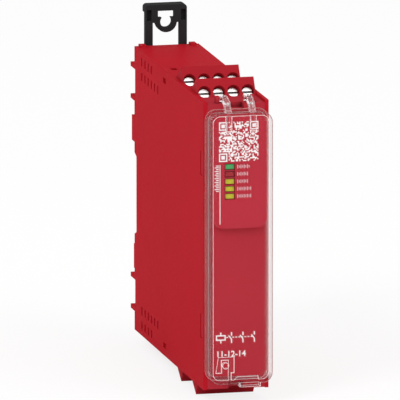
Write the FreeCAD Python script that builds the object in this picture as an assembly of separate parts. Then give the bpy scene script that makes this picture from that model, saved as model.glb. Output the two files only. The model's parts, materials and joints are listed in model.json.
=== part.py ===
import FreeCAD, Part
import math
import os

# A slim safety relay module for a 35 mm mounting rail, in millimetres.
# X runs to the right, the front of the module faces -Y and +Z is up.  The origin is the
# centre of the rail seat: on the back plane, halfway across and level with the rail's middle.
# "depth" counts forward from the back plane, and "drop" counts down from the body's top.

# ---- driving dimensions -------------------------------------------------------------------

# Body
body_width = 22.5
body_height = 98.8
body_depth = 105.3
side_wall = 1.25
top_wall = 1.6
back_wall = 2.5
rail_drop = 51.1            # from the body's top to the middle of the rail
rail_height = 35.0
rail_flange = 1.0           # thickness of the rail's edge
groove_depth = 1.0          # shallow grooves above and below, between the guide ribs
recess_depth = 2.9          # relief behind the middle of the rail
recess_margin = 4.3         # height of the seat pads at each edge of the rail
recess_slope = 1.0

# Guides for the rail clip, on the back
guide_gap = 0.3             # running gap round the clip
guide_reach = 6.0           # how far the ribs stand behind the back plane
guide_rib = 1.5             # rib thickness, up and down
upper_ribs = (6.4, 17.5)    # drop of each rib's upper edge; the lower pair mirrors them
guide_lip = 1.5             # how far a lip reaches behind the clip
guide_lip_thickness = 1.3
shoulder_reach = 4.1        # side shoulders over the rail
shoulder_height = 8.8
ledge_reach = 1.06          # ledge under the rail
ledge_height = 8.5
hook_width = 12.0           # fixed hook under the rail
hook_overlap = 1.5
hook_thickness = 1.9
hook_height = 3.2
rail_play = 0.3
foot_width = 2.1            # small blocks on the top, either side of the clip
foot_height = 0.76
foot_depth = 3.5
foot_inset = 1.4

# Openings in the body's skin
vent_width = 1.6
vent_height = 2.8
vent_pitch = 4.9
vent_start = 10.6
vent_rows = ((3.5, 4), (8.6, 6))    # drop of a row's middle, and how many slots it has
latch_slot_depth = 42.3
latch_slot_length = 2.2     # across the top
latch_slot_width = 3.6      # along the depth
latch_slot_offset = 7.55
snap_recess_depth = 44.0
snap_recess_drop = 2.6
snap_recess_length = 4.2
snap_recess_height = 1.8
snap_recess_sink = 0.9
snap_window_width = 2.8
snap_window_height = 7.9
snap_window_inset = 1.9     # from the front plane
snap_window_drop = 17.5
snap_play = 0.15
snap_root = 1.0             # how far the catches reach into the cap
snap_sink = 0.25            # how far the catches lie below the sides

# Terminal blocks: a box tilted so that its face looks forward and away from the body
tilt = 33.0
crest_height = 4.9          # how far the crest stands out of the body
rear_crest_inset = 39.3     # from the front plane back to each crest
front_crest_inset = 17.0
block_length = 11.5         # along the screws
block_thickness = 9.5       # along the wires
block_play = 0.05           # between a block and what holds it
terminal_pitch = 5.0
terminals = 4
bridge_drop = 2.0           # floor between the two blocks
bridge_thickness = 1.5

# Screws and rising clamps, measured down the screw from the block's face
screw_inset = 4.9           # from the crest to the screw's axis
head_recess = 1.86
head_radius = 1.8
head_thickness = 1.05
head_hole_radius = 2.15
screw_slot_width = 0.8
screw_slot_depth = 0.8
shank_radius = 1.25
thread_play = 0.05
axial_play = 0.05
neck_thickness = 0.5
cage_width = 3.8
cage_length = 4.2           # along the wire
cage_top_wall = 0.7
cage_side_wall = 0.5
cage_bottom_wall = 0.6
cage_travel = 1.8
cage_play = 0.35
bar_width = 2.1
bar_thickness = 0.6
bar_play = 0.1
bar_seat = 0.5              # how far the bar's end sits in the wall beyond the clamp
closed_gap = 0.3            # between the bar and the clamp's jaw when tight
entry_width = 3.4
entry_height = 3.1
entry_bevel = 0.4
tail_clear = 15.7           # from the crest to the first bar's foot, along the wire
tail_step = 1.5
tail_foot = 0.9

# Front cap with its raised panel
cap_play = 0.05
cap_wall = 2.0
cap_drop = 0.85             # its top lies this far below the side walls' edges
cap_foot = 0.2              # and its bottom this far above them
panel_margin = 2.15         # from the body's side to the panel's side
panel_raise = 4.4
panel_top = 4.0
panel_bottom = 5.3
panel_radius = 2.0
panel_wall = 1.5
notch_width = 5.2
notch_depth = 3.5
notch_height = 1.7
cap_stop = 0.9              # posts that hold the front board
cap_post_width = 0.8
cap_post_height = 4.0
cap_post_margin = 2.0

# Hinge of the clear cover
hinge_inset = 2.7           # behind the front plane
hinge_rise = 0.6
hinge_pin_radius = 0.6
pin_end = 0.15              # how far the pin comes out of the arm
hinge_play = 0.05
eye_radius = 1.1
arm_spacing = 8.4
arm_width = 2.0
arm_thickness = 1.3
arm_crown = 1.2             # how far the arm's bend rises over the cap's edge
arm_bow = 0.2
ear_thickness = 1.1
side_play = 0.3

# Clear cover
cover_margin = 0.4
cover_top = 2.5
cover_bottom = 3.3
cover_gap = 1.1             # from the label plate to the cover's inner face
cover_wall = 1.2
cover_play = 0.3
cover_radius = 3.6
cover_inner_radius = 2.4
cover_edge = 0.6
tab_centre = 2.95           # finger tab below the cover, right of the middle
tab_width = 7.1
tab_reach = 1.0
tab_depth = 2.6
latch_left = -1.2           # the latch bar's two ends
latch_right = 6.0
latch_slant = 2.1           # how far its left end leans out at the bottom
latch_height = 2.0
latch_rise = 0.3            # from the cover's bottom edge up to the latch bar
latch_thickness = 1.1
seal_width = 6.3
seal_height = 5.4
seal_left = 2.2             # from the cover's side
seal_rise = 3.8             # from the cover's bottom edge
seal_flare = 0.9            # how far each leg leans out
seal_hole_radius = 1.0
seal_frame = 1.0
seal_depth = 0.6
rib_drop = 9.0              # lower end of the ribs below the arms
rib_play = 0.35             # between the ribs and the label plate
rib_bevel = 0.5

# Label plate and light pipes
plate_raise = 1.8
plate_height = 38.4
plate_radius = 3.0
window_width = 3.0
window_height = 1.7
window_centre = -3.6
window_first = 21.2         # drop of the first window's middle
window_pitch = 2.53
windows = 5
window_play = 0.25
pipe_sink = 0.35            # from the plate's face down to a light pipe's end
led_size = 1.6
led_height = 1.0
led_gap = 0.3

# Rail clip
clip_width = 14.5
clip_thickness = 2.5
clip_rise = 13.9            # above the body's top
clip_pull = 9.0             # how far it can be pushed back in
clip_leg = 2.53
clip_window_top = 7.7       # above the body's top
clip_window_drop = 12.0     # below the body's top
clip_grip_height = 2.7
clip_grip_thickness = 2.3
clip_nose_height = 3.0
clip_corner = 1.2
ring_rise = 8.0
ring_radius = 3.7
keyhole_radius = 2.1
keyhole_neck = 2.7
keyhole_head_width = 5.8
keyhole_head_bottom = 9.4
keyhole_head_top = 11.8
clip_pocket_width = 1.6
clip_pocket_bottom = 8.5
clip_pocket_top = 12.2
clip_pocket_sink = 1.2

# Circuit boards and what they carry
board_thickness = 1.6
board_gap = 0.6             # from the side wall to the main board
main_board_back = 6.0
main_board_margin = 10.5    # above and below
boss_radius = 2.5
boss_inset = 6.0
front_board_thickness = 1.2
front_board_margin = 8.0
front_board_gap = 0.35      # to the cap's catches
connector_width = 3.0
connector_height = 25.0
connector_length = 5.0
relay_width = 12.8          # away from the board
relay_length = 28.0
relay_height = 24.0
relay_inset = 6.0           # from the main board's rear edge
relay_gap = 12.8            # between the two relays
relay_edge = 0.6

# Places on the main board: how far behind the front board, and how far below mid height
capacitor_radius = 4.6
capacitor_length = 14.0
capacitor_places = ((41.2, -23.4), (41.2, -11.4))
transformer_size = (13.0, 16.0, 18.0)    # away from the board, in depth and in height
transformer_place = (37.2, 9.6)
transformer_core = 3.0
chip_size = (1.6, 8.0, 8.0)
chip_places = ((21.2, -17.4), (21.2, -3.4), (11.2, -3.4), (21.2, 10.6))
fuse_radius = 2.6
fuse_length = 8.0
fuse_place = (17.2, 23.6)
varistor_radius = 4.0
varistor_thickness = 3.6
varistor_place = (25.2, 20.0)

# ---- what follows from them ---------------------------------------------------------------

half_width = body_width / 2
inner_half = half_width - side_wall
top_z = rail_drop
middle_drop = body_height / 2
middle_z = top_z - middle_drop
rail_top_drop = rail_drop - rail_height / 2
rail_bottom_drop = rail_drop + rail_height / 2
crest_depths = {"rear": body_depth - rear_crest_inset, "front": body_depth - front_crest_inset}
hinge_depth = body_depth - hinge_inset
cap_half = inner_half - cap_play
cap_low = body_height - cap_foot
front_board_half_width = cap_half - snap_root - front_board_gap
panel_half = half_width - panel_margin
panel_face = body_depth + panel_raise
plate_face = panel_face + plate_raise
cover_half = half_width - cover_margin
cover_inside = plate_face + cover_gap
cover_face = cover_inside + cover_wall
cover_back = body_depth + cover_play
cover_low = body_height - cover_bottom
seal_middle = seal_left + seal_width / 2 - cover_half
arm_centre = arm_spacing / 2
block_half = inner_half - block_play
ledge_depth = head_recess + head_thickness + axial_play
cage_top = ledge_depth + neck_thickness + cage_play / 2
bar_top = cage_top + cage_top_wall + cage_travel + bar_play
bar_bottom = bar_top + bar_thickness
jaw = bar_bottom + closed_gap
cage_bottom = jaw + cage_bottom_wall
screw_tip = bar_top - thread_play
board_face = -inner_half + board_gap + board_thickness
main_board_front = body_depth - cap_wall - cap_stop - front_board_thickness - board_gap
front_board_back = body_depth - cap_wall - cap_stop - front_board_thickness
front_board_face = front_board_back + front_board_thickness
reach = 1.0                 # how far a cutting tool runs past a face
bond = 0.6                  # how far a joined piece sinks into what carries it
touch = 0.05                # how close to a plane an edge lies on it

parts = {}


# ---- shape helpers ------------------------------------------------------------------------

def box(x_range, depth_range, drop_range):
    """A block between two sides, two depths and two drops."""
    corner = FreeCAD.Vector(x_range[0], -depth_range[1], top_z - drop_range[1])
    return Part.makeBox(x_range[1] - x_range[0], depth_range[1] - depth_range[0],
                        drop_range[1] - drop_range[0], corner)


def centred(half, depth_range, drop_range):
    """A block that is as wide to the left as to the right."""
    return box((-half, half), depth_range, drop_range)


def prism(points, x_range):
    """A side-view outline of (depth, drop) points, drawn out from one X to another."""
    corners = [FreeCAD.Vector(x_range[0], -depth, top_z - drop) for depth, drop in points]
    face = Part.Face(Part.makePolygon(corners + corners[:1]))
    return face.extrude(FreeCAD.Vector(x_range[1] - x_range[0], 0, 0))


def rounded_block(half, depth_range, drop_range, radius):
    """A block whose four edges along the depth are rounded."""
    block = centred(half, depth_range, drop_range)
    length = depth_range[1] - depth_range[0]
    edges = [edge for edge in block.Edges if edge.BoundBox.YLength > length - touch]
    return block.makeFillet(radius, edges)


def cross_pin(radius, x_range, depth, drop):
    """A cylinder along X."""
    base = FreeCAD.Vector(x_range[0], -depth, top_z - drop)
    return Part.makeCylinder(radius, x_range[1] - x_range[0], base, FreeCAD.Vector(1, 0, 0))


def both_sides(shape):
    """A shape and its mirror image across the module's middle."""
    return [shape, shape.mirror(FreeCAD.Vector(0, 0, 0), FreeCAD.Vector(1, 0, 0))]


def upside_down(shape):
    """The mirror image of a shape across the body's mid height."""
    return shape.mirror(FreeCAD.Vector(0, 0, middle_z), FreeCAD.Vector(0, 0, 1))


def top_and_bottom(shapes):
    """Shapes at the top, with their mirror images at the bottom."""
    return shapes + [upside_down(shape) for shape in shapes]


def group(shapes):
    return Part.makeCompound(shapes)


# ---- terminal blocks, drawn in their own frame --------------------------------------------
# The crest is the origin there: down the screw is +Y and down the wire is -Z.

def local_box(x_centre, width, screw_range, wire_range):
    corner = FreeCAD.Vector(x_centre - width / 2, screw_range[0], -wire_range[1])
    return Part.makeBox(width, screw_range[1] - screw_range[0],
                        wire_range[1] - wire_range[0], corner)


def local_rod(x_centre, radius, screw_range):
    """A cylinder on a screw's axis."""
    base = FreeCAD.Vector(x_centre, screw_range[0], -screw_inset)
    return Part.makeCylinder(radius, screw_range[1] - screw_range[0], base,
                             FreeCAD.Vector(0, 1, 0))


def stand(shape, level, row):
    """Tilt a shape out of the block's frame and set it at its row."""
    placed = shape.copy()
    placed.rotate(FreeCAD.Vector(0, 0, 0), FreeCAD.Vector(1, 0, 0), -tilt)
    placed.translate(FreeCAD.Vector(0, -crest_depths[row], top_z + crest_height))
    return placed if level == "top" else upside_down(placed)


def block_blank(play=0.0):
    """The block's outside, or the larger space that it fits in."""
    return local_box(0, 2 * (block_half + play), (-play, block_length + play),
                     (-play, block_thickness + play))


def wire_middle():
    """Where the wire goes in, down the screw: over the bar's lower side and the open jaw."""
    return jaw + cage_travel / 2 - entry_height / 2 + closed_gap


def make_block():
    block = block_blank()
    cage_low = screw_inset - cage_length / 2 - cage_play
    cage_high = screw_inset + cage_length / 2 + cage_play
    middle = wire_middle()
    for x_centre in terminal_places():
        room = (ledge_depth + neck_thickness, cage_bottom + cage_travel + cage_play)
        tools = [
            local_rod(x_centre, head_hole_radius, (-reach, ledge_depth)),
            local_rod(x_centre, shank_radius + thread_play, (0, room[0] + reach)),
            local_box(x_centre, cage_width + 2 * cage_play, room, (cage_low, cage_high)),
            local_box(x_centre, entry_width, (middle - entry_height / 2, middle + entry_height / 2),
                      (-reach, cage_low + reach)),
            local_box(x_centre, entry_width + 2 * entry_bevel,
                      (middle - entry_height / 2 - entry_bevel,
                       middle + entry_height / 2 + entry_bevel), (-reach, entry_bevel)),
            local_box(x_centre, bar_width, (bar_top, bar_bottom),
                      (cage_low - bar_seat, block_thickness + reach)),
        ]
        for tool in tools:
            block = block.cut(tool)
    return block


def terminal_places():
    first = -terminal_pitch * (terminals - 1) / 2
    return [first + terminal_pitch * number for number in range(terminals)]


def make_screw(x_centre):
    head = local_rod(x_centre, head_radius, (head_recess, head_recess + head_thickness))
    shank = local_rod(x_centre, shank_radius, (head_recess + head_thickness, screw_tip))
    slot = local_box(x_centre, 2 * head_radius + reach,
                     (head_recess - reach, head_recess + screw_slot_depth),
                     (screw_inset - screw_slot_width / 2, screw_inset + screw_slot_width / 2))
    return head.fuse(shank).cut(slot)


def make_cage(x_centre):
    along = (screw_inset - cage_length / 2, screw_inset + cage_length / 2)
    outside = local_box(x_centre, cage_width, (cage_top, cage_bottom), along)
    inside = local_box(x_centre, cage_width - 2 * cage_side_wall,
                       (cage_top + cage_top_wall, jaw), (along[0] - reach, along[1] + reach))
    thread = local_rod(x_centre, shank_radius + thread_play,
                       (cage_top - reach, cage_top + cage_top_wall + reach))
    return outside.cut(inside).cut(thread)


def make_bar(number, x_centre):
    """A current bar through the clamp, whose foot turns across to the main board."""
    start = screw_inset - cage_length / 2 - cage_play - bar_seat
    foot = tail_clear + tail_step * number
    strip = local_box(x_centre, bar_width, (bar_top, bar_bottom), (start, foot + tail_foot))
    left = board_face
    across = x_centre + bar_width / 2 - left
    cross = local_box(left + across / 2, across, (bar_top, bar_bottom), (foot, foot + tail_foot))
    blank = strip.fuse(cross).removeSplitter()
    board_space = local_box(left - reach, 2 * reach, (0, 2 * block_length),
                            (block_thickness, 2 * foot))
    return blank.cut(board_space)


def add_terminals(level, row):
    name = level + "_" + row
    parts["terminal_block_" + name] = stand(make_block(), level, row)
    bars = []
    for number, x_centre in enumerate(terminal_places()):
        label = name + "_" + str(number + 1)
        parts["screw_" + label] = stand(make_screw(x_centre), level, row)
        parts["clamp_cage_" + label] = stand(make_cage(x_centre), level, row)
        bars.append(stand(make_bar(number, x_centre), level, row))
    parts["contact_bars_" + name] = group(bars)


def block_spaces(play):
    """The room that all four blocks take in what holds them."""
    return [stand(block_blank(play), level, row)
            for level in ("top", "bottom") for row in crest_depths]


# ---- housing ------------------------------------------------------------------------------

def back_outline(inset):
    """Half of the side view's back edge, from the top down, as (depth, drop) points."""
    rib_top, rib_low = upper_ribs
    return [(inset, inset), (inset, rib_top), (inset + groove_depth, rib_top + guide_rib),
            (inset + groove_depth, rib_low), (inset, rib_low + guide_rib)]


def outer_profile():
    upper = back_outline(0)
    lower = [(depth, body_height - drop) for depth, drop in reversed(upper)]
    relief_top = rail_top_drop + recess_margin
    relief_bottom = rail_bottom_drop - recess_margin
    relief = [(0, relief_top - recess_slope), (recess_depth, relief_top),
              (recess_depth, relief_bottom), (0, relief_bottom + recess_slope)]
    return upper + relief + lower + [(body_depth, body_height), (body_depth, 0)]


def inner_profile():
    relief_top = rail_top_drop + recess_margin
    relief_bottom = rail_bottom_drop - recess_margin
    deep = recess_depth + back_wall - groove_depth
    low = body_height - top_wall
    return [(back_wall, top_wall), (back_wall, relief_top - 2 * recess_slope),
            (deep, relief_top), (deep, relief_bottom), (back_wall, relief_bottom + 2 * recess_slope),
            (back_wall, low), (body_depth + reach, low), (body_depth + reach, top_wall)]


def guide_ribs():
    """Ribs behind the body, with lips that hold the clip's edges from behind."""
    inner = clip_width / 2 + guide_gap
    lip_front = guide_gap + clip_thickness + guide_gap
    shapes = []
    for drop in upper_ribs:
        rib = box((inner, half_width), (-guide_reach, groove_depth), (drop, drop + guide_rib))
        lip = box((inner - guide_lip, inner), (-lip_front - guide_lip_thickness, -lip_front),
                  (drop, drop + guide_rib))
        shapes += both_sides(rib.fuse(lip).removeSplitter())
    return top_and_bottom(shapes)


def rail_grips():
    """Shoulders over the rail, and the ledge and fixed hook under it."""
    inner = clip_width / 2 + guide_gap
    seat = rail_top_drop - rail_play
    shoulder = box((inner, half_width), (-shoulder_reach, side_wall), (seat - shoulder_height, seat))
    under = rail_bottom_drop + rail_play
    ledge = centred(half_width, (-ledge_reach, side_wall), (under, under + ledge_height))
    lip_front = rail_flange + rail_play
    lip_back = lip_front + hook_thickness
    stem = centred(hook_width / 2, (-lip_back, 0), (under, under + hook_height))
    lip = centred(hook_width / 2, (-lip_back, -lip_front),
                  (rail_bottom_drop - hook_overlap, under + hook_height))
    return both_sides(shoulder) + [ledge, stem.fuse(lip).removeSplitter()]


def top_feet():
    outer = half_width - foot_inset
    foot = box((outer - foot_width, outer), (0, foot_depth), (-foot_height, bond))
    return both_sides(foot)


def vent_slots():
    shapes = []
    for drop, count in vent_rows:
        for number in range(count):
            depth = vent_start + vent_pitch * number
            shapes.append(centred(half_width + reach, (depth, depth + vent_width),
                                  (drop - vent_height / 2, drop + vent_height / 2)))
    return top_and_bottom(shapes)


def latch_slots():
    outer = latch_slot_offset + latch_slot_length / 2
    slot = box((outer - latch_slot_length, outer),
               (latch_slot_depth, latch_slot_depth + latch_slot_width), (-reach, top_wall + reach))
    return top_and_bottom(both_sides(slot))


def snap_recesses():
    recess = box((half_width - snap_recess_sink, half_width + reach),
                 (snap_recess_depth, snap_recess_depth + snap_recess_length),
                 (snap_recess_drop, snap_recess_drop + snap_recess_height))
    return top_and_bottom(both_sides(recess))


def snap_blocks(play, sink):
    """The cap's snap catches, or with some play the windows in the side walls for them."""
    front = body_depth - snap_window_inset
    catch = box((cap_half - snap_root, half_width - sink),
                (front - snap_window_width - play, front + play),
                (snap_window_drop - play, snap_window_drop + snap_window_height + play))
    return top_and_bottom(both_sides(catch))


def bridges():
    """The floor between the two terminal blocks, at the top and at the bottom."""
    bridge = centred(inner_half + bond, (crest_depths["rear"], crest_depths["front"]),
                     (bridge_drop, bridge_drop + bridge_thickness))
    return top_and_bottom([bridge])


def board_bosses():
    """Short bosses between the left wall and the main board."""
    shapes = []
    for depth in (main_board_back + boss_inset, main_board_front - boss_inset):
        for drop in (main_board_margin + boss_inset,
                     body_height - main_board_margin - boss_inset):
            shapes.append(cross_pin(boss_radius, (-inner_half - bond,
                                                  -inner_half + board_gap), depth, drop))
    return shapes


def make_housing():
    shell = prism(outer_profile(), (-half_width, half_width))
    shell = shell.cut(prism(inner_profile(), (-inner_half, inner_half)))
    mouth_back = crest_depths["rear"] - crest_height / math.tan(math.radians(tilt))
    mouth = centred(inner_half, (mouth_back, body_depth + reach), (-reach, top_wall + reach))
    shell = shell.cut(top_and_bottom([mouth]))
    shell = shell.fuse(bridges() + guide_ribs() + rail_grips() + top_feet() + board_bosses())
    shell = shell.cut(block_spaces(block_play))
    shell = shell.cut(vent_slots() + latch_slots() + snap_recesses())
    return shell.cut(snap_blocks(snap_play, -reach)).removeSplitter()


# ---- front cap ----------------------------------------------------------------------------

def window_block(number, play, depth_range):
    """The space of one light pipe, or with some play the window that it goes through."""
    drop = window_first + window_pitch * number
    return box((window_centre - window_width / 2 - play, window_centre + window_width / 2 + play),
               depth_range, (drop - window_height / 2 - play, drop + window_height / 2 + play))


def window_holes(depth_range):
    return [window_block(number, window_play, depth_range) for number in range(windows)]


def hinge_ears():
    """Ears on the cap's top, each with a pin that turns inward through a cover arm."""
    inner = arm_centre + arm_width / 2 + side_play
    ear = prism([(hinge_depth - eye_radius, -hinge_rise), (hinge_depth + eye_radius, -hinge_rise),
                 (hinge_depth + eye_radius, cap_drop + bond),
                 (hinge_depth - eye_radius, cap_drop + bond)],
                (inner, inner + ear_thickness))
    crown = cross_pin(eye_radius, (inner, inner + ear_thickness), hinge_depth, -hinge_rise)
    pin = cross_pin(hinge_pin_radius, (inner - side_play - arm_width - pin_end,
                                       inner + bond), hinge_depth, -hinge_rise)
    return both_sides(ear.fuse([crown, pin]).removeSplitter())


def board_posts():
    inner = front_board_half_width - cap_post_width
    low = front_board_margin + cap_post_margin
    post = box((inner, front_board_half_width),
               (front_board_face, body_depth - cap_wall + bond), (low, low + cap_post_height))
    return top_and_bottom(both_sides(post))


def make_cap():
    wall = centred(cap_half, (body_depth - cap_wall, body_depth), (cap_drop, cap_low))
    along = (crest_depths["front"], body_depth)
    returns = [centred(cap_half, along, (cap_drop, cap_drop + cap_wall)),
               centred(cap_half, along, (cap_low - cap_wall, cap_low))]
    low = body_height - panel_bottom
    panel = rounded_block(panel_half, (body_depth - cap_wall, panel_face), (panel_top, low),
                          panel_radius)
    hollow = centred(panel_half - panel_wall, (body_depth - cap_wall - reach, panel_face - panel_wall),
                     (panel_top + panel_wall, low - panel_wall))
    notch = centred(notch_width / 2, (body_depth - notch_depth, body_depth + reach),
                    (-reach, cap_drop + notch_height))
    cap = wall.fuse(returns + [panel])
    cap = cap.cut(hollow).fuse(board_posts() + snap_blocks(0, snap_sink) + hinge_ears())
    cap = cap.cut(top_and_bottom([notch]) + window_holes((body_depth, panel_face + reach)))
    return cap.cut(block_spaces(block_play)).removeSplitter()


def make_plate():
    plate = rounded_block(panel_half, (panel_face, plate_face),
                          (panel_top, panel_top + plate_height), plate_radius)
    return plate.cut(window_holes((panel_face - reach, plate_face + reach)))


# ---- clear cover --------------------------------------------------------------------------

def arm_sides():
    return (arm_centre - arm_width / 2, arm_centre + arm_width / 2)


def cover_arms():
    """Two bent arms from the hinge pins, over the cap's front edge, into the cover's top."""
    top = -hinge_rise - eye_radius
    knee = cover_face - 3 * cover_wall
    outline = [(hinge_depth, top), (body_depth + arm_crown, top - arm_bow), (knee, top + arm_crown),
               (cover_face - cover_wall, cover_top), (cover_face - cover_wall, cover_top + cover_wall),
               (cover_face - 2 * cover_wall, cover_top + cover_wall),
               (knee - cover_wall, top + arm_crown + arm_thickness),
               (body_depth + arm_crown / 2, top + arm_thickness), (hinge_depth, top + 2 * eye_radius)]
    eye = cross_pin(eye_radius, arm_sides(), hinge_depth, -hinge_rise)
    bore = cross_pin(hinge_pin_radius + hinge_play, (-reach, half_width), hinge_depth, -hinge_rise)
    return both_sides(prism(outline, arm_sides()).fuse(eye).cut(bore))


def cover_ribs():
    """Bevelled ribs on the inside of the cover's face, one below each arm."""
    back = plate_face + rib_play
    rib = box(arm_sides(), (back, cover_inside + bond), (cover_top + bond, rib_drop))
    edges = [edge for edge in rib.Edges if edge.BoundBox.YMin > -back - touch
             and edge.BoundBox.XLength < touch]
    return both_sides(rib.makeChamfer(rib_bevel, edges))


def cover_shell():
    outside = rounded_block(cover_half, (cover_back, cover_face), (cover_top, cover_low), cover_radius)
    rim = [edge for edge in outside.Edges
           if edge.BoundBox.YMax < touch - cover_face]
    inside = rounded_block(cover_half - cover_wall, (cover_back - reach, cover_inside),
                           (cover_top + cover_wall, cover_low - cover_wall), cover_inner_radius)
    return outside.makeFillet(cover_edge, rim).cut(inside)


def face_prism(points, depth_range):
    """A front-view outline of (x, drop) points, drawn out from one depth to another."""
    corners = [FreeCAD.Vector(x, -depth_range[0], top_z - drop) for x, drop in points]
    face = Part.Face(Part.makePolygon(corners + corners[:1]))
    return face.extrude(FreeCAD.Vector(0, depth_range[0] - depth_range[1], 0))


def seal_eye():
    """A raised frame with two flared legs on the cover's inner face, and a web below it."""
    low = cover_low - seal_rise
    high = low - seal_height
    left = seal_middle - seal_width / 2
    right = seal_middle + seal_width / 2
    rise = (cover_inside - seal_depth, cover_inside + bond)
    outside = face_prism([(left + seal_flare, high), (right, high), (right, low), (left, low)], rise)
    inside = face_prism([(left + seal_flare + seal_frame, high + seal_frame),
                         (right - seal_frame - seal_flare, high + seal_frame),
                         (right - 2 * seal_frame, low + reach), (left + 2 * seal_frame, low + reach)],
                        (rise[0] - reach, rise[1] + reach))
    web = box((right - 2 * seal_frame, right - seal_frame), rise, (low - bond, cover_low - bond))
    return outside.cut(inside).fuse(web)


def seal_hole():
    drop = cover_low - seal_rise - seal_height / 2
    base = FreeCAD.Vector(seal_middle, -cover_face - reach, top_z - drop)
    return Part.makeCylinder(seal_hole_radius, cover_wall + 2 * reach, base,
                             FreeCAD.Vector(0, 1, 0))


def latch_bar():
    """The catch inside the cover's lower edge; its left end slants."""
    low = cover_low - latch_rise
    return face_prism([(latch_left, low - latch_height), (latch_right, low - latch_height),
                       (latch_right, low), (latch_left - latch_slant, low)],
                      (cover_inside - latch_thickness, cover_inside + bond))


def make_cover():
    tab = box((tab_centre - tab_width / 2, tab_centre + tab_width / 2),
              (cover_face - tab_depth, cover_face), (cover_low - cover_wall, cover_low + tab_reach))
    cover = cover_shell().fuse([tab, latch_bar(), seal_eye()] + cover_arms() + cover_ribs())
    return cover.cut(seal_hole()).removeSplitter()


# ---- rail clip ----------------------------------------------------------------------------

def make_clip():
    half = clip_width / 2
    low = clip_pull - hook_overlap
    bottom = rail_top_drop - low
    back = -guide_gap - clip_thickness
    front = -guide_gap
    plate = centred(half, (back, front), (-clip_rise, bottom))
    grip = centred(half, (back - clip_grip_thickness, back), (-clip_rise, clip_grip_height - clip_rise))
    window = centred(half - clip_leg, (back - reach, front + reach),
                     (-clip_window_top, clip_window_drop))
    nose_relief = centred(half + reach, (-rail_flange - rail_play, front + reach),
                          (bottom - clip_nose_height, bottom + reach))
    across = FreeCAD.Vector(0, 1, 0)
    ring_base = FreeCAD.Vector(0, -front, top_z + ring_rise)
    ring = Part.makeCylinder(ring_radius, clip_thickness, ring_base, across)
    hole_base = FreeCAD.Vector(0, -front - reach, top_z + ring_rise)
    hole = Part.makeCylinder(keyhole_radius, clip_thickness + 2 * reach, hole_base, across)
    neck = centred(keyhole_neck / 2, (back - reach, front + reach),
                   (-keyhole_head_bottom - bond, -ring_rise))
    head = centred(keyhole_head_width / 2, (back - reach, front + reach),
                   (-keyhole_head_top, -keyhole_head_bottom))
    pocket = box((half - clip_leg + (clip_leg - clip_pocket_width) / 2,
                  half - (clip_leg - clip_pocket_width) / 2),
                 (front - clip_pocket_sink, front + reach), (-clip_pocket_top, -clip_pocket_bottom))
    clip = plate.fuse(grip).cut(window).fuse(ring)
    clip = clip.cut([hole, neck, head, nose_relief] + both_sides(pocket)).removeSplitter()
    corners = [edge for edge in clip.Edges
               if edge.BoundBox.ZLength < touch and edge.BoundBox.XLength < touch
               and edge.BoundBox.ZMax > top_z + clip_rise - touch]
    return clip.makeFillet(clip_corner, corners)


# ---- boards and components ----------------------------------------------------------------

def board_place(place):
    """A place on the main board as a depth and a drop."""
    return (front_board_back - place[0], middle_drop + place[1])


def on_board(size, middle):
    """A block on the main board: its size away from the board, in depth and in height."""
    depth, drop = middle
    return box((board_face, board_face + size[0]), (depth - size[1] / 2, depth + size[1] / 2),
               (drop - size[2] / 2, drop + size[2] / 2))


def make_relay():
    """The upper relay; the lower one is its mirror image."""
    middle = (main_board_back + relay_inset + relay_length / 2,
              middle_drop - relay_gap / 2 - relay_height / 2)
    relay = on_board((relay_width, relay_length, relay_height), middle)
    edges = [edge for edge in relay.Edges if edge.BoundBox.XMin > board_face + relay_width - touch]
    return relay.makeFillet(relay_edge, edges)


def make_transformer():
    away, length, height = transformer_size
    middle = board_place(transformer_place)
    core = on_board((away - transformer_core, length + transformer_core,
                     height - 2 * transformer_core), middle)
    return on_board(transformer_size, middle).fuse(core).removeSplitter()


def lying_round(radius, length, place):
    """A round component that lies on the main board on a foot as wide as its radius."""
    depth, drop = board_place(place)
    base = FreeCAD.Vector(board_face + radius, -depth, top_z - drop)
    tube = Part.makeCylinder(radius, length, base, FreeCAD.Vector(0, -1, 0))
    foot = box((board_face, board_face + radius), (depth, depth + length),
               (drop - radius / 2, drop + radius / 2))
    return tube.fuse(foot).removeSplitter()


def add_boards():
    parts["main_board"] = box((board_face - board_thickness, board_face),
                              (main_board_back, main_board_front),
                              (main_board_margin, body_height - main_board_margin))
    parts["front_board"] = centred(front_board_half_width, (front_board_back, front_board_face),
                                   (front_board_margin, body_height - front_board_margin))
    parts["board_connector"] = box((board_face, board_face + connector_width),
                                   (front_board_back - connector_length, front_board_back),
                                   (middle_drop - connector_height / 2,
                                    middle_drop + connector_height / 2))
    parts["switching_relay_1"] = make_relay()
    parts["switching_relay_2"] = upside_down(make_relay())
    parts["capacitors"] = group([cross_pin(capacitor_radius,
                                           (board_face, board_face + capacitor_length),
                                           *board_place(place)) for place in capacitor_places])
    parts["transformer"] = make_transformer()
    parts["logic_chips"] = group([on_board(chip_size, board_place(place))
                                  for place in chip_places])
    parts["fuse"] = lying_round(fuse_radius, fuse_length, fuse_place)
    parts["varistor"] = lying_round(varistor_radius, varistor_thickness, varistor_place)


def add_lights():
    pipes = []
    leds = []
    for number in range(windows):
        start = front_board_face + led_height + led_gap
        pipes.append(window_block(number, 0, (start, plate_face - pipe_sink)))
        drop = window_first + window_pitch * number
        leds.append(box((window_centre - led_size / 2, window_centre + led_size / 2),
                        (front_board_face, front_board_face + led_height),
                        (drop - led_size / 2, drop + led_size / 2)))
    parts["status_leds"] = group(leds)
    parts["light_pipe_green"] = pipes[0]
    parts["light_pipe_red"] = pipes[1]
    parts["light_pipes_yellow"] = group(pipes[2:])


# ---- the whole module ---------------------------------------------------------------------

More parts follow.
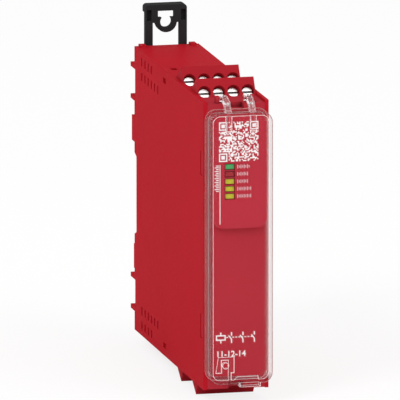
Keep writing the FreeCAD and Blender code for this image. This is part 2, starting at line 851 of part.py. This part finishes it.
parts["housing"] = make_housing()
parts["front_cap"] = make_cap()
parts["label_plate"] = make_plate()
parts["clear_cover"] = make_cover()
parts["rail_clip"] = make_clip()
for level in ("top", "bottom"):
    for row in crest_depths:
        add_terminals(level, row)
add_boards()
add_lights()

os.makedirs("parts", exist_ok=True)
for name, shape in parts.items():
    shape.exportStep(os.path.join("parts", name + ".step"))
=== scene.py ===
import json
import math

import bmesh
import bpy
from mathutils import Matrix, Vector


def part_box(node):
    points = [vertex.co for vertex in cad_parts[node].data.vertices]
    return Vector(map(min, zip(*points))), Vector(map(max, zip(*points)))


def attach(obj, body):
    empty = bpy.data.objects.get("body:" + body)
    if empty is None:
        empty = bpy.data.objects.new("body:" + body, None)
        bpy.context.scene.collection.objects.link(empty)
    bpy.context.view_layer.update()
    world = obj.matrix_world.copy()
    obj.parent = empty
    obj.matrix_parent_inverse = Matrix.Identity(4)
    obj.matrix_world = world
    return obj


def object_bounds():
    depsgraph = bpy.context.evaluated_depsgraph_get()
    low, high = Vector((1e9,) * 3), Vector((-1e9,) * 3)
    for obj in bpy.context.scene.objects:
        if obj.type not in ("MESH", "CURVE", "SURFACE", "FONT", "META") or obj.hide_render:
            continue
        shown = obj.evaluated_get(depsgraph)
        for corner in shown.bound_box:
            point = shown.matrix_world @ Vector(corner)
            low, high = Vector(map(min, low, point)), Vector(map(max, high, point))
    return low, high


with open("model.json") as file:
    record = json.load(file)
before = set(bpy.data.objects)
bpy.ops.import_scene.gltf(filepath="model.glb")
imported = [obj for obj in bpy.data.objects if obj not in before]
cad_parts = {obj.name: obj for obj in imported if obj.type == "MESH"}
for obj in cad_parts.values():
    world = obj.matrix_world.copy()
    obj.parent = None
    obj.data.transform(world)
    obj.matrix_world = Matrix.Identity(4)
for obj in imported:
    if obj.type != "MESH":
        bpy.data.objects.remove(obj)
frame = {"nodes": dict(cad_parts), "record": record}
cad_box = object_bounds()
nodes = frame["nodes"]
MM = 0.001
plate_low, plate_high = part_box("label_plate")
cap_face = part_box("front_cap")[0].y
cover_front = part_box("clear_cover")[0].y
COVER_FACE = (cover_front + 1.22 * MM, cover_front + 1.3 * MM)    # just behind the front wall

# ---- colours, as seen on the object, and how they are finished ----------------------------

RED_SIDE = (186, 29, 41)
RED_TERMINAL = (174, 38, 48)
RED_CAP = (178, 49, 60)
RED_LABEL = (184, 52, 65)
# PRINT_WHITE also colours the painted highlight lines on the clear cover's edges
PRINT_WHITE = (250, 244, 244)
PRINT_FAINT = (226, 190, 192)
# CLIP_BLACK also colours the painted shade along the clear cover's edges
CLIP_BLACK = (44, 44, 45)
SCREW_SILVER = (252, 252, 250)
CAGE_STEEL = (170, 172, 172)
BRASS = (196, 168, 104)
BOARD_GREEN = (28, 88, 46)
BOARD_DARK = (24, 78, 42)
TRACK_GREEN = (58, 128, 70)
RELAY_CREAM = (222, 212, 178)
CAN_SLEEVE = (36, 40, 62)
CORE_YELLOW = (214, 190, 82)
MOULDING_BLACK = (28, 28, 29)
FUSE_IVORY = (216, 206, 186)
VARISTOR_BLUE = (34, 66, 132)
LED_WHITE = (232, 232, 220)
PIPE_GREEN = (66, 148, 82)
PIPE_RED = (160, 12, 26)
PIPE_YELLOW = (186, 176, 26)
FLOOR_WHITE = (254, 254, 254)
PLAIN_WHITE = (1, 1, 1, 1)     # linear


def linear(colour):
    """An 8-bit display colour as the linear values that a shader takes."""
    values = []
    for part in colour:
        share = part / 255
        values.append(share / 12.92 if share <= 0.04045 else ((share + 0.055) / 1.055) ** 2.4)
    return (*values, 1.0)


# ---- shader building blocks ---------------------------------------------------------------

def new_material(name):
    material = bpy.data.materials.new(name)
    material.use_nodes = True
    tree = material.node_tree
    tree.nodes.clear()
    output = tree.nodes.new("ShaderNodeOutputMaterial")
    return material, tree, output


def add(tree, kind, settings=None, **inputs):
    """A node with its properties and the constant values of its sockets."""
    node = tree.nodes.new("ShaderNode" + kind)
    for key, value in (settings or {}).items():
        setattr(node, key, value)
    for key, value in inputs.items():
        node.inputs[key.replace("_", " ")].default_value = value
    return node


def link(tree, source, target):
    tree.links.new(source, target)


def ramp(tree, value, start, end, low, high):
    """Map a value from start to end onto low to high, and hold it outside them."""
    node = add(tree, "MapRange")
    node.inputs["From Min"].default_value = start
    node.inputs["From Max"].default_value = end
    node.inputs["To Min"].default_value = low
    node.inputs["To Max"].default_value = high
    link(tree, value, node.inputs["Value"])
    return node.outputs["Result"]


def combined(tree, operation, first, second):
    """Two values joined by a math operation."""
    node = add(tree, "Math", {"operation": operation})
    link(tree, first, node.inputs[0])
    link(tree, second, node.inputs[1])
    return node.outputs[0]


def blend(tree, share, first, second):
    """The first shader, with that share of the second."""
    node = add(tree, "MixShader")
    link(tree, share, node.inputs["Fac"])
    link(tree, first, node.inputs[1])
    link(tree, second, node.inputs[2])
    return node.outputs[0]


def noise(tree, scale, detail=3.0, roughness=0.5):
    """Noise that is fixed to the object, with its scale in cycles a metre."""
    place = add(tree, "TexCoord")
    texture = add(tree, "TexNoise", Scale=scale, Detail=detail, Roughness=roughness)
    link(tree, place.outputs["Object"], texture.inputs["Vector"])
    return texture.outputs["Fac"]


def spread(tree, value, low, high):
    """Stretch a noise's middle range over low to high."""
    return ramp(tree, value, 0.3, 0.7, low, high)


def shaded_colour(tree, colour, amount, scale):
    """A colour whose brightness drifts a little over the surface."""
    base = linear(colour)
    mix = add(tree, "Mix", {"data_type": "RGBA", "blend_type": "MIX"})
    mix.inputs[6].default_value = tuple(c * (1 - amount) for c in base[:3]) + (1,)
    mix.inputs[7].default_value = tuple(min(1, c * (1 + amount)) for c in base[:3]) + (1,)
    link(tree, spread(tree, noise(tree, scale), 0, 1), mix.inputs[0])
    return mix.outputs[2]


def bumped(tree, height, strength, distance, edge):
    """A bump over softly rounded edges."""
    bevel = add(tree, "Bevel", {"samples": 4}, Radius=edge)
    bump = add(tree, "Bump", Strength=strength, Distance=distance)
    link(tree, height, bump.inputs["Height"])
    link(tree, bevel.outputs["Normal"], bump.inputs["Normal"])
    return bump.outputs["Normal"]


def painted_crevice_shade(tree, colour, reach, floor, alone=True, full=0.8):
    """Painted shade: the colour darkens by ambient occlusion in grooves narrower than reach, of the
    part alone or of all.
    """
    hollow = add(tree, "AmbientOcclusion", {"samples": 8, "only_local": alone}, Distance=reach)
    mix = add(tree, "Mix", {"data_type": "RGBA", "blend_type": "MULTIPLY"})
    mix.inputs[0].default_value = 1.0
    link(tree, colour, mix.inputs[6])
    link(tree, ramp(tree, hollow.outputs["AO"], 0.35, full, floor, 1.0), mix.inputs[7])
    return mix.outputs[2]


def edge_share(tree, width, most, start=0.98, full=0.85):
    """Up to most along the edges of the shape, and nothing away from them."""
    rounded = add(tree, "Bevel", {"samples": 8}, Radius=width)
    flat = add(tree, "NewGeometry")
    turn = add(tree, "VectorMath", {"operation": "DOT_PRODUCT"})
    link(tree, rounded.outputs["Normal"], turn.inputs[0])
    link(tree, flat.outputs["Normal"], turn.inputs[1])
    return ramp(tree, turn.outputs["Value"], start, full, 0.0, most)


def moulded(name, colour, roughness=0.5, grain=5200, depth=0.00002, specular=0.004, edge=0.0002,
            shade_reach=None):
    """Moulded plastic: a fine spark-eroded grain, a slight drift of colour, soft edges, and painted
    shade in grooves where asked.
    """
    material, tree, output = new_material(name)
    shader = add(tree, "BsdfPrincipled", Specular_IOR_Level=specular)
    tone = shaded_colour(tree, colour, 0.035, 45)
    # painted shade: the colour darkens in the part's grooves and recesses
    if shade_reach:
        tone = painted_crevice_shade(tree, tone, shade_reach, 0.35)
    link(tree, tone, shader.inputs["Base Color"])
    link(tree, spread(tree, noise(tree, 900), roughness - 0.05, roughness + 0.06),
         shader.inputs["Roughness"])
    link(tree, bumped(tree, noise(tree, grain, 2.0), 0.25, depth, edge), shader.inputs["Normal"])
    link(tree, shader.outputs["BSDF"], output.inputs["Surface"])
    return material


def metal(name, colour, roughness=0.3, grain=2600, shade_reach=None, metallic=0.75):
    """Plated metal: fine brushing in the roughness, and painted shade in grooves where asked."""
    material, tree, output = new_material(name)
    shader = add(tree, "BsdfPrincipled", Metallic=metallic)
    tone = shaded_colour(tree, colour, 0.03, 300)
    # painted shade: the screw slots darken to black
    if shade_reach:
        tone = painted_crevice_shade(tree, tone, shade_reach, 0.0)
    link(tree, tone, shader.inputs["Base Color"])
    link(tree, spread(tree, noise(tree, grain), roughness - 0.06, roughness + 0.08),
         shader.inputs["Roughness"])
    link(tree, bumped(tree, noise(tree, grain), 0.2, 0.00001, 0.00012), shader.inputs["Normal"])
    link(tree, shader.outputs["BSDF"], output.inputs["Surface"])
    return material


def tinted(name, colour, glow):
    """A coloured light pipe: glossy, slightly lit from behind, with painted shade where the window
    walls close round it.
    """
    material, tree, output = new_material(name)
    shader = add(tree, "BsdfPrincipled", Roughness=0.22, Emission_Strength=glow)
    # painted shade: the pipe darkens where other parts close round it
    tone = painted_crevice_shade(tree, shaded_colour(tree, colour, 0.06, 900), 0.0012, 0.0,
                    alone=False, full=0.97)
    link(tree, tone, shader.inputs["Base Color"])
    link(tree, tone, shader.inputs["Emission Color"])
    link(tree, bumped(tree, noise(tree, 1800), 0.15, 0.00001, 0.00015), shader.inputs["Normal"])
    link(tree, shader.outputs["BSDF"], output.inputs["Surface"])
    return material


def clear_share(tree, depth):
    """How much of the clear part is plainly seen through: flat faces most, round ones least."""
    path = add(tree, "LightPath")
    lit_through = combined(tree, "MAXIMUM", path.outputs["Is Shadow Ray"],
                           path.outputs["Is Diffuse Ray"])
    slant = add(tree, "LayerWeight", Blend=0.5).outputs["Facing"]
    face = combined(tree, "MULTIPLY", ramp(tree, slant, 0.07, 0.35, 0.96, 0.0),
                    ramp(tree, depth, *COVER_FACE, 1.0, 0.65))
    side = ramp(tree, slant, 0.6, 0.75, 0.0, 0.8)
    return combined(tree, "MAXIMUM", lit_through, combined(tree, "MAXIMUM", face, side))


def clear(name):
    """Clear polycarbonate: it refracts what is seen, with painted dark shade and painted white
    highlights along its edges.
    """
    material, tree, output = new_material(name)
    place = add(tree, "TexCoord")
    axes = add(tree, "SeparateXYZ")
    link(tree, place.outputs["Object"], axes.inputs[0])
    depth = axes.outputs["Y"]

    glass = add(tree, "BsdfPrincipled", Base_Color=(0.995, 0.99, 0.99, 1), Roughness=0.02,
                IOR=1.5, Transmission_Weight=1.0, Sheen_Weight=0.6, Sheen_Roughness=0.2)
    link(tree, bumped(tree, noise(tree, 60), 0.02, 0.0002, 0.0003), glass.inputs["Normal"])
    through = add(tree, "BsdfTransparent", Color=(0.99, 0.987, 0.987, 1))
    body = blend(tree, clear_share(tree, depth), glass.outputs["BSDF"], through.outputs["BSDF"])

    # painted shade: a dark sheet mixed in along the cover's rounded edges
    painted_edge_shade = add(tree, "BsdfDiffuse", Color=linear(CLIP_BLACK))
    shaded = blend(tree, edge_share(tree, 0.0007, 0.25, 0.995, 0.95), body, painted_edge_shade.outputs["BSDF"])

    # painted highlight: white lines along the cover's edges, fainter behind the front wall
    front = add(tree, "BsdfDiffuse", Color=linear(PRINT_WHITE))
    back = add(tree, "BsdfTranslucent", Color=linear(PRINT_WHITE))
    painted_edge_highlight = add(tree, "AddShader")
    link(tree, front.outputs["BSDF"], painted_edge_highlight.inputs[0])
    link(tree, back.outputs["BSDF"], painted_edge_highlight.inputs[1])
    highlight_mask = combined(tree, "MULTIPLY", edge_share(tree, 0.00035, 1.0),
                     ramp(tree, depth, *COVER_FACE, 1.0, 0.6))
    link(tree, blend(tree, highlight_mask, shaded, painted_edge_highlight.outputs[0]), output.inputs["Surface"])
    return material


def circuit_board(name):
    """Solder mask over a maze of copper tracks."""
    material, tree, output = new_material(name)
    shader = add(tree, "BsdfPrincipled", Roughness=0.3, Coat_Weight=0.3)
    place = add(tree, "TexCoord")
    tracks = add(tree, "TexBrick", {"offset": 0.37, "squash": 1.6}, Scale=420.0, Mortar_Size=0.06)
    tracks.inputs["Color1"].default_value = linear(BOARD_GREEN)
    tracks.inputs["Color2"].default_value = linear(BOARD_DARK)
    tracks.inputs["Mortar"].default_value = linear(TRACK_GREEN)
    link(tree, place.outputs["Object"], tracks.inputs["Vector"])
    link(tree, tracks.outputs["Color"], shader.inputs["Base Color"])
    link(tree, bumped(tree, tracks.outputs["Fac"], 0.3, 0.00003, 0.0001), shader.inputs["Normal"])
    link(tree, shader.outputs["BSDF"], output.inputs["Surface"])
    return material


def printed(name, colour):
    """Pad-printed ink: slightly uneven in tone and gloss."""
    material, tree, output = new_material(name)
    shader = add(tree, "BsdfPrincipled", Roughness=0.5, Specular_IOR_Level=0.3)
    link(tree, shaded_colour(tree, colour, 0.03, 1200), shader.inputs["Base Color"])
    link(tree, bumped(tree, noise(tree, 6000), 0.1, 0.000005, 0.00002), shader.inputs["Normal"])
    link(tree, shader.outputs["BSDF"], output.inputs["Surface"])
    return material


# ---- materials of the carried-over pieces -------------------------------------------------

finishes = {
    "housing_red": moulded("housing_plastic", RED_SIDE),
    # the reach values below give painted shade in grooves and recesses, in metres
    "terminal_red": moulded("terminal_plastic", RED_TERMINAL, shade_reach=0.0015),
    "cap_red": moulded("cap_plastic", RED_CAP, shade_reach=0.0025),
    "label_red": moulded("label_plastic", RED_LABEL, shade_reach=0.0015),
    "clear_plastic": clear("clear_polycarbonate"),
    "clip_black": moulded("clip_plastic", CLIP_BLACK, roughness=0.5),
    "screw_steel": metal("screw_plating", SCREW_SILVER, roughness=0.3, shade_reach=0.0011, metallic=0.7),
    "cage_steel": metal("cage_plating", CAGE_STEEL),
    "contact_brass": metal("contact_brass", BRASS),
    "board_green": circuit_board("solder_mask"),
    "relay_case": moulded("relay_plastic", RELAY_CREAM, roughness=0.3),
    "capacitor_can": moulded("capacitor_sleeve", CAN_SLEEVE, roughness=0.25),
    "transformer_core": moulded("winding_tape", CORE_YELLOW, roughness=0.35, grain=1500),
    "black_moulding": moulded("epoxy_moulding", MOULDING_BLACK, roughness=0.55),
    "fuse_body": moulded("fuse_ceramic", FUSE_IVORY, roughness=0.3),
    "varistor_coat": moulded("varistor_coat", VARISTOR_BLUE, roughness=0.25, grain=1200),
    "led_lens": tinted("led_resin", LED_WHITE, 0.2),
    "pipe_green": tinted("green_pipe", PIPE_GREEN, 0.25),
    "pipe_red": tinted("red_pipe", PIPE_RED, 0.05),
    "pipe_yellow": tinted("yellow_pipe", PIPE_YELLOW, 0.1),
}

slot_of = {part["node"]: part["material_slot"] for part in frame["record"]["subparts"]}
for name, node in nodes.items():
    node.data.materials.clear()
    node.data.materials.append(finishes[slot_of[name]])


# ---- print on the label plate and the panel -----------------------------------------------
# All of it is generic: a block pattern made by a formula, ticks, a relay's symbol and numbers.

PRINT_LIFT = 0.03 * MM
PRINT_DEPTH = 0.02 * MM
PRINT_LEFT = -8.0 * MM         # left edge of the symbol and the numbers on the panel
FINE_LINE = 0.26 * MM
PATTERN_LEFT = -7.35 * MM
PATTERN_SIZE = 13.6 * MM
PATTERN_CELLS = 33
PATTERN_FILL = 0.52            # share of the cells that hold a block
CORNER_CELLS = 7
TICKS = (8, 7, 7, 9, 9)        # beside each light, from the top down


class Print:
    """Flat shapes just above a surface that faces the front."""

    def __init__(self, face):
        self.mesh = bmesh.new()
        self.back = face - PRINT_LIFT
        self.front = self.back - PRINT_DEPTH

    def outline(self, points):
        """A filled outline of (x, z) points, as a thin prism."""
        front = [self.mesh.verts.new((x, self.front, z)) for x, z in points]
        back = [self.mesh.verts.new((x, self.back, z)) for x, z in points]
        self.mesh.faces.new(front)
        self.mesh.faces.new(list(reversed(back)))
        count = len(points)
        for i in range(count):
            j = (i + 1) % count
            self.mesh.faces.new((front[j], front[i], back[i], back[j]))

    def bar(self, x, z, width, height):
        """A rectangle about a middle point."""
        half, tall = width / 2, height / 2
        self.outline([(x - half, z - tall), (x + half, z - tall),
                      (x + half, z + tall), (x - half, z + tall)])

    def stroke(self, start, end, width):
        """A straight stroke between two points."""
        along = Vector(end) - Vector(start)
        side = Vector((-along.y, along.x)).normalized() * width / 2
        a, b = Vector(start), Vector(end)
        self.outline([a + side, a - side, b - side, b + side])

    def finish(self, name, material):
        bmesh.ops.recalc_face_normals(self.mesh, faces=self.mesh.faces)
        data = bpy.data.meshes.new(name)
        self.mesh.to_mesh(data)
        self.mesh.free()
        data.materials.append(material)
        piece = bpy.data.objects.new(name, data)
        bpy.context.scene.collection.objects.link(piece)
        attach(piece, "module")


ink = printed("white_ink", PRINT_WHITE)
faint_ink = printed("grey_ink", PRINT_FAINT)


def in_corner(column, row):
    """Whether a cell lies in a framed corner or in the clear row round it."""
    near = CORNER_CELLS + 1
    far = PATTERN_CELLS - near - 1
    at_left, at_top = column < near, row < near
    return (at_left and (at_top or row > far)) or (column > far and at_top)


def has_block(column, row):
    """A formula that scatters the blocks evenly; it holds no message."""
    return math.sin(12.9898 * column + 78.233 * row) * 43758.5453 % 1 < PATTERN_FILL


def block_pattern():
    """A square of light blocks set by a formula, with three framed corners."""
    sheet = Print(plate_low.y)
    top = plate_high.z - 1.8 * MM
    step = PATTERN_SIZE / PATTERN_CELLS
    for row in range(PATTERN_CELLS):
        column = 0
        while column < PATTERN_CELLS:
            run = 0
            while (column + run < PATTERN_CELLS and not in_corner(column + run, row)
                   and has_block(column + run, row)):
                run += 1
            if run:
                sheet.bar(PATTERN_LEFT + (column + run / 2) * step, top - (row + 0.5) * step,
                          run * step, step)
            column += run + 1
    last = PATTERN_CELLS - CORNER_CELLS
    outer = CORNER_CELLS * step
    for column, row in ((0, 0), (last, 0), (0, last)):
        x = PATTERN_LEFT + column * step + outer / 2
        z = top - row * step - outer / 2
        for sign in (-1, 1):
            sheet.bar(x, z + sign * (outer - step) / 2, outer, step)
            sheet.bar(x + sign * (outer - step) / 2, z, step, outer - 2 * step)
        sheet.bar(x, z, 3 * step, 3 * step)
    sheet.finish("block_pattern_print", ink)


def light_heights():
    """The middle of each light, from the top down."""
    first, second = [(low.z + high.z) / 2 for low, high in
                     (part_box("light_pipe_green"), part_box("light_pipe_red"))]
    return [first - (first - second) * number for number in range(len(TICKS))]


def light_ticks():
    """A row of small upright ticks beside each light, long and short in turn."""
    sheet = Print(plate_low.y)
    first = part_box("light_pipe_green")[1].x + 1.2 * MM
    pitch, tall, short = 0.56 * MM, 1.3 * MM, 0.8 * MM
    for count, z in zip(TICKS, light_heights()):
        for number in range(count):
            sheet.bar(first + number * pitch, z, FINE_LINE, short if number % 2 else tall)
    sheet.finish("caption_print", faint_ink)


def side_line():
    """The thin upright line beside the lights, and the ticks that run along it."""
    sheet = Print(plate_low.y)
    top = plate_high.z - 16.4 * MM
    length = 20.4 * MM
    x = PATTERN_LEFT + 0.35 * MM
    sheet.bar(x, top - length / 2, FINE_LINE, length)
    pitch, gap, thick = 0.62 * MM, 0.4 * MM, 0.28 * MM
    for number in range(15):
        tick = (1.5 if number % 2 else 1.0) * MM
        sheet.bar(x - gap - tick / 2, top - (number + 0.5) * pitch, tick, thick)
    sheet.finish("side_line_print", ink)


def relay_symbol():
    """A relay's circuit symbol: a coil and three linked contacts."""
    sheet = Print(cap_face)
    z = plate_high.z - 76.15 * MM
    line = 0.42 * MM
    coil_width, coil_height, lead = 3.4 * MM, 1.9 * MM, 0.9 * MM
    middle, coil_right = PRINT_LEFT + coil_width / 2, PRINT_LEFT + coil_width
    for sign in (-1, 1):
        sheet.bar(middle, z + sign * (coil_height - line) / 2, coil_width, line)
        sheet.bar(middle + sign * (coil_width - line) / 2, z, line, coil_height - 2 * line)
        sheet.bar(middle, z + sign * (coil_height + lead) / 2, line, lead)
    contact_pitch = 3.95 * MM
    for number in range(3):
        x = coil_right + 2.0 * MM + number * contact_pitch
        sheet.bar(x, z - 1.2 * MM, line, 1.3 * MM)
        sheet.bar(x, z + 1.25 * MM, line, 1.2 * MM)
        sheet.stroke((x, z - 0.55 * MM), (x - 1.0 * MM, z + 0.75 * MM), line)
    dash, dash_pitch = 0.6 * MM, 1.05 * MM
    for number in range(9):
        sheet.bar(coil_right + 0.5 * MM + number * dash_pitch, z + 0.1 * MM, dash, 0.8 * line)
    sheet.finish("relay_symbol_print", ink)


def digits(text, x, z, size, name):
    """Plain numbers, as a flat mesh on the panel."""
    curve = bpy.data.curves.new(name + "_curve", "FONT")
    curve.body = text
    curve.size = size
    curve.extrude = PRINT_DEPTH / 2
    curve.resolution_u = 3
    curve.offset = 0.05 * MM
    holder = bpy.data.objects.new(name + "_text", curve)
    bpy.context.scene.collection.objects.link(holder)
    holder.matrix_world = (Matrix.Translation((x, cap_face - PRINT_LIFT, z))
                           @ Matrix.Rotation(math.radians(90), 4, "X"))
    bpy.context.view_layer.update()
    drawn = holder.evaluated_get(bpy.context.evaluated_depsgraph_get())
    data = bpy.data.meshes.new_from_object(drawn)
    data.transform(holder.matrix_world)
    bpy.data.objects.remove(holder)
    piece = bpy.data.objects.new(name, data)
    data.materials.clear()
    data.materials.append(ink)
    bpy.context.scene.collection.objects.link(piece)
    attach(piece, "module")


block_pattern()
light_ticks()
side_line()
relay_symbol()
digits("11-12-14", PRINT_LEFT, plate_high.z - 82.7 * MM, 2.85 * MM, "number_print")


# ---- studio -------------------------------------------------------------------------------

def looking(tree):
    """One for camera rays, for reflections and for rays through clear parts, else zero."""
    path = add(tree, "LightPath")
    straight = combined(tree, "MAXIMUM", path.outputs["Is Camera Ray"],
                        path.outputs["Is Transmission Ray"])
    return combined(tree, "MAXIMUM", straight, path.outputs["Is Glossy Ray"])


def white_to_camera(tree, lit, share):
    """Show part of a surface as plain white to the camera, to gloss and through clear parts."""
    glow = add(tree, "Emission", Color=PLAIN_WHITE, Strength=1.0)
    return blend(tree, ramp(tree, looking(tree), 0.0, 1.0, 0.0, share), lit,
                 glow.outputs["Emission"])


FLOOR_GAP = 0.0002
FLOOR_SHARE = 0.8              # how much of the floor is plain white to the camera


def make_floor():
    material, tree, output = new_material("studio_floor")
    shader = add(tree, "BsdfDiffuse", Color=linear(FLOOR_WHITE), Roughness=0.6)
    link(tree, white_to_camera(tree, shader.outputs["BSDF"], FLOOR_SHARE), output.inputs["Surface"])
    mesh = bpy.data.meshes.new("floor")
    half = 6.0
    level = cad_box[0].z - FLOOR_GAP
    mesh.from_pydata([(-half, -half, level), (half, -half, level), (half, half, level),
                      (-half, half, level)], [], [(0, 1, 2, 3)])
    mesh.materials.append(material)
    floor = bpy.data.objects.new("floor", mesh)
    bpy.context.scene.collection.objects.link(floor)


def make_world():
    world = bpy.data.worlds.new("studio")
    bpy.context.scene.world = world
    world.use_nodes = True
    tree = world.node_tree
    tree.nodes.clear()
    output = tree.nodes.new("ShaderNodeOutputWorld")
    soft = add(tree, "Background", Color=PLAIN_WHITE, Strength=0.66)
    plain = add(tree, "Background", Color=PLAIN_WHITE, Strength=1.0)
    link(tree, blend(tree, looking(tree), soft.outputs[0], plain.outputs[0]),
         output.inputs["Surface"])


def add_lamp(name, place, size, power, target):
    data = bpy.data.lights.new(name, "AREA")
    data.shape = "DISK"
    data.size = size
    data.energy = power
    lamp = bpy.data.objects.new(name, data)
    bpy.context.scene.collection.objects.link(lamp)
    lamp.location = place
    lamp.rotation_euler = (Vector(target) - Vector(place)).to_track_quat("-Z", "Y").to_euler()


def add_camera(azimuth, elevation, distance, lens, target):
    data = bpy.data.cameras.new("camera")
    data.lens = lens
    data.clip_end = 100
    camera = bpy.data.objects.new("camera", data)
    bpy.context.scene.collection.objects.link(camera)
    turn, lift = math.radians(azimuth), math.radians(elevation)
    back = Vector((math.sin(turn) * math.cos(lift), -math.cos(turn) * math.cos(lift),
                   math.sin(lift)))
    camera.location = Vector(target) + back * distance
    camera.rotation_euler = (-back).to_track_quat("-Z", "Y").to_euler()
    bpy.context.scene.camera = camera


high = cad_box[1]
AIM = (0, high.y - 57.1 * MM, high.z - 58.2 * MM)
make_floor()
make_world()
add_lamp("key", (-1.1, -1.0, 1.4), 0.7, 10.0, AIM)
add_lamp("top", (0.23, -1.0, 1.47), 0.9, 2.6, AIM)
add_lamp("fill", (1.2, -1.4, 0.6), 1.2, 6.0, AIM)
add_camera(-12.96, 11.15, 6.04, 1600, AIM)

bpy.context.scene.view_settings.view_transform = "Standard"
